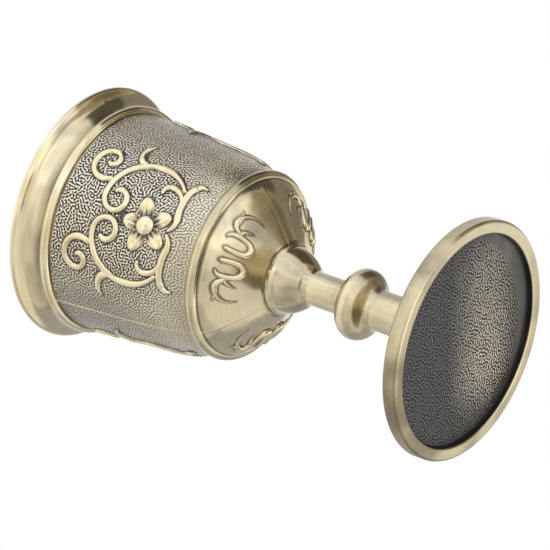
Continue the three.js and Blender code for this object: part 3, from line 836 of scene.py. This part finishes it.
# Painted shade over a light even patina: the wall darkens away from the middle of each panel and more on the
# side towards -150 degrees. It grows upwards from the lower bead.
shaded_side = fade(np.cos(angle - math.radians(WALL_SHADE_ANGLE)), 0.4, 1.0)
patina_and_side_shade = WALL_PATINA + (0.05 + 0.14 * shaded_side) * aside_panel * fade(height - wall_foot, 3, 16)
near_relief = np.maximum(VINE_EDGE_PATINA * near_vine, PETAL_FOOT_PATINA * near_petal)
patina_and_shade[rows] = np.maximum.reduce([near_relief, WALL_CORNER_PATINA * corner[rows], patina_and_side_shade[rows]])

rows = np.flatnonzero(outside_under)
near_motif = patina_near(under_paths, panel[rows] * MOTIF_RADIUS, radius[rows], 0.3)
bead_corner = UNDERBOWL_BEAD_PATINA * (1 - fade(UNDERBOWL_RADIUS - radius[rows], 0.02, 0.35))
seat_corner = UNDERBOWL_SEAT_PATINA * (1 - fade(radius[rows] - SEAT_RADIUS, 0.02, 0.2))
corners = np.maximum.reduce([bead_corner, seat_corner, MOTIF_EDGE_PATINA * near_motif])
patina_and_shade[rows] = np.maximum(corners, UNDERBOWL_PATINA)

# Painted shade: the flare darkens over its lowest 2 mm towards the upper bead, over an even patina.
flare = FLARE_PATINA + FLARE_FOOT_SHADE * (1 - fade(height - flare_foot, 0.1, 2.0))
patina_and_shade = np.where(outside_flare, flare, patina_and_shade)
top_seam = 1 - fade(np.hypot(radius - upper_bead_core[0], height - flare_foot), 0.05, 0.4)
patina_and_shade = np.maximum.reduce([patina_and_shade, TOP_SEAM_PATINA * top_seam, CUP_PATINA * in_cup])
from_parting = [np.abs((np.degrees(angle) - a + 180) % 360 - 180) for a in PARTING_ANGLES]
parting = outside_wall | outside_under | (outside_flare & (from_parting[0] > 1))
parting &= np.min(from_parting, axis=0) < PARTING_HALF
worn_parting = parting & (from_parting[0] < PARTING_HALF)
grain = outside_wall * (1 - 0.3 * aside_panel) * (0.65 + 0.35 * fade(height - wall_foot, 1.5, 9))
grain = grain * fade(height - wall_foot, 0, 0.3) * fade(wall_top - height, 0, 0.3)
paint(bowl.data, "patina_and_shade", np.where(worn_parting, PARTING_PATINA, patina_and_shade))
paint(bowl.data, "grain", np.where(worn_parting, 0, grain))
ridge = np.where(parting, PARTING_HEIGHT, 0.0)
for vertex in bowl.data.vertices:
    if ridge[vertex.index]:
        vertex.co += vertex.normal * ridge[vertex.index] * MM
ready(bowl, bronze, "bowl")

# Studio
# The goblet is seen from below its foot against plain white, as if it lay on a sweep of white paper.
# Soft light comes from all round, with a few darker gaps between the panels that the metal mirrors.
EYE_POINT = (-24.92, -679.6, -398.4)
IMAGE_RIGHT = (0.3455, 0.4991, -0.7946)
IMAGE_UP = (0.9379, -0.2114, 0.2750)
TOWARD_VIEWER = (-0.0307, -0.8403, -0.5412)
FOCAL_LENGTH = 320.36
SENSOR_WIDTH = 36
FLOOR_HALF = 2
FLOOR_DROP = 0.0002
FLOOR_SQUARE = ((-1, -1), (1, -1), (1, 1), (-1, 1))
PAPER = (0.86, 0.86, 0.85, 1)
PAPER_ROUGHNESS = 0.9
WHITE = (1, 1, 1, 1)
DIFFUSE_SHARE = 0.7
camera_data = bpy.data.cameras.new("camera")
camera_data.sensor_width = SENSOR_WIDTH
camera_data.lens = FOCAL_LENGTH
camera = bpy.data.objects.new("camera", camera_data)
bpy.context.scene.collection.objects.link(camera)
axes = Matrix((IMAGE_RIGHT, IMAGE_UP, TOWARD_VIEWER)).transposed().to_4x4()
camera.matrix_world = Matrix.Translation([c * MM for c in EYE_POINT]) @ axes
bpy.context.scene.camera = camera

floor_mesh = bpy.data.meshes.new("floor")
floor_corners = [(x * FLOOR_HALF, y * FLOOR_HALF, -FLOOR_DROP) for x, y in FLOOR_SQUARE]
floor_mesh.from_pydata(floor_corners, [], [(0, 1, 2, 3)])
floor = bpy.data.objects.new("floor", floor_mesh)
bpy.context.scene.collection.objects.link(floor)
floor_material, paper_shader, paper = new_material("white_paper")
paper_shader.inputs["Base Color"].default_value = PAPER
paper_shader.inputs["Roughness"].default_value = PAPER_ROUGHNESS
behind = paper.node("ShaderNodeNewGeometry", {}, {}, "Backfacing")
clear = paper.node("ShaderNodeBsdfTransparent", {}, {})
sheet = Wire(paper.tree, paper_shader.outputs[0])
seen = paper.node("ShaderNodeMixShader", {}, {0: behind, 1: sheet, 2: clear})
seen.feed(paper.tree.nodes["Material Output"], "Surface")
floor_mesh.materials.append(floor_material)
for visibility in ("visible_glossy", "visible_diffuse", "visible_transmission", "visible_shadow"):
    setattr(floor, visibility, False)

# Panels and flags of the light tent: middle azimuth and half width, middle elevation and half height,
# softness of the edge, all in degrees, and the light that comes from there
TENT = [
    (-58, 26, -5, 60, 8, (1.30, 1.34, 1.44)),
    (-22, 16, -12, 50, 12, (1.12, 1.14, 1.22)),
    (-98, 25, -38, 26, 16, (1.22, 1.22, 1.18)),
    (-95, 40, 40, 26, 16, (1.20, 1.20, 1.17)),
    (-68, 14, 40, 20, 12, (0.88, 0.88, 0.88)),
    (-106, 15, 14, 13, 10, (1.30, 1.29, 1.26)),
    (-120, 14, -32, 14, 10, (0.88, 0.88, 0.87)),
    (-150, 32, -22, 34, 20, (0.88, 0.88, 0.86)),
    (-140, 60, 8, 5, 5, (0.68, 0.68, 0.68)),
    (-45, 26, -66, 14, 10, (1.22, 1.22, 1.20)),
    (15, 23, -1, 21, 5, (0.12, 0.11, 0.09)),
    (53, 16, -1, 21, 5, (0.30, 0.285, 0.255)),
    (36, 33, -37, 14, 10, (0.37, 0.325, 0.245)),
    (38, 9, -33, 12, 8, (0.62, 0.60, 0.55)),
    (62, 16, -40, 10, 8, (0.60, 0.55, 0.45)),
    (30, 34, 40, 18, 14, (0.70, 0.71, 0.75)),
    (126, 28, -6, 23, 6, (0.50, 0.51, 0.55)),
    (130, 34, 42, 26, 14, (0.76, 0.77, 0.80)),
    (165, 16, 10, 14, 12, (0.82, 0.82, 0.82)),
    (90, 14, -4, 20, 10, (0.90, 0.91, 0.94)),
    (90, 16, -54, 10, 8, (1.80, 1.77, 1.68)),
    (85, 55, -71, 17, 12, (2.05, 2.00, 1.90)),
    (15, 30, -78, 10, 8, (1.60, 1.57, 1.50)),
    (4, 20, -60, 8, 8, (0.66, 0.66, 0.66)),
    (0, 14, -42, 9, 8, (1.26, 1.26, 1.26)),
    (0, 180, 74, 22, 16, (1.12, 1.12, 1.12)),
    (178, 22, -15, 17, 8, (0.72, 0.72, 0.72)),
    (-40, 14, 40, 16, 10, (1.12, 1.12, 1.12)),
]
world = bpy.data.worlds.new("studio")
bpy.context.scene.world = world
world.use_nodes = True
sky = Wire(world.node_tree)
looking = sky.node("ShaderNodeTexCoord", {}, {}, "Generated")
parts = sky.node("ShaderNodeSeparateXYZ", {}, {0: looking})
x, y, z = (Wire(sky.tree, socket) for socket in parts.socket.node.outputs)
elevation = z.maths("ARCSINE", z)
light = WHITE
multiply = {"data_type": "RGBA", "blend_type": "MULTIPLY"}
for azimuth, half_width, middle, half_height, soft, colour in TENT:
    c, s = math.cos(math.radians(azimuth)), math.sin(math.radians(azimuth))
    aside = x.maths("ABSOLUTE", x.maths("ARCTAN2", y * c - x * s, x * c + y * s))
    above = z.maths("ABSOLUTE", elevation - math.radians(middle))
    past_side = aside.step(math.radians(half_width - soft / 2), math.radians(half_width + soft / 2))
    past_edge = above.step(math.radians(half_height - soft / 2), math.radians(half_height + soft / 2))
    panel_light = ((1 - past_side) * (1 - past_edge)).blend(WHITE, (*colour, 1))
    light = sky.node("ShaderNodeMix", multiply, {0: 1.0, 6: light, 7: panel_light}, 2)
rays = sky.node("ShaderNodeLightPath", {}, {}).socket.node.outputs
is_camera = Wire(sky.tree, rays["Is Camera Ray"])
is_glossy = Wire(sky.tree, rays["Is Glossy Ray"])
is_clear = Wire(sky.tree, rays["Is Transmission Ray"])
backdrop = is_camera.maths("MAXIMUM", is_camera, is_clear)
strength = is_glossy.maths("MAXIMUM", is_glossy, backdrop) * (1 - DIFFUSE_SHARE) + DIFFUSE_SHARE
background = world.node_tree.nodes["Background"]
backdrop.blend(light, WHITE).feed(background, "Color")
strength.feed(background, "Strength")

scene = bpy.context.scene
scene.view_settings.view_transform = "Standard"
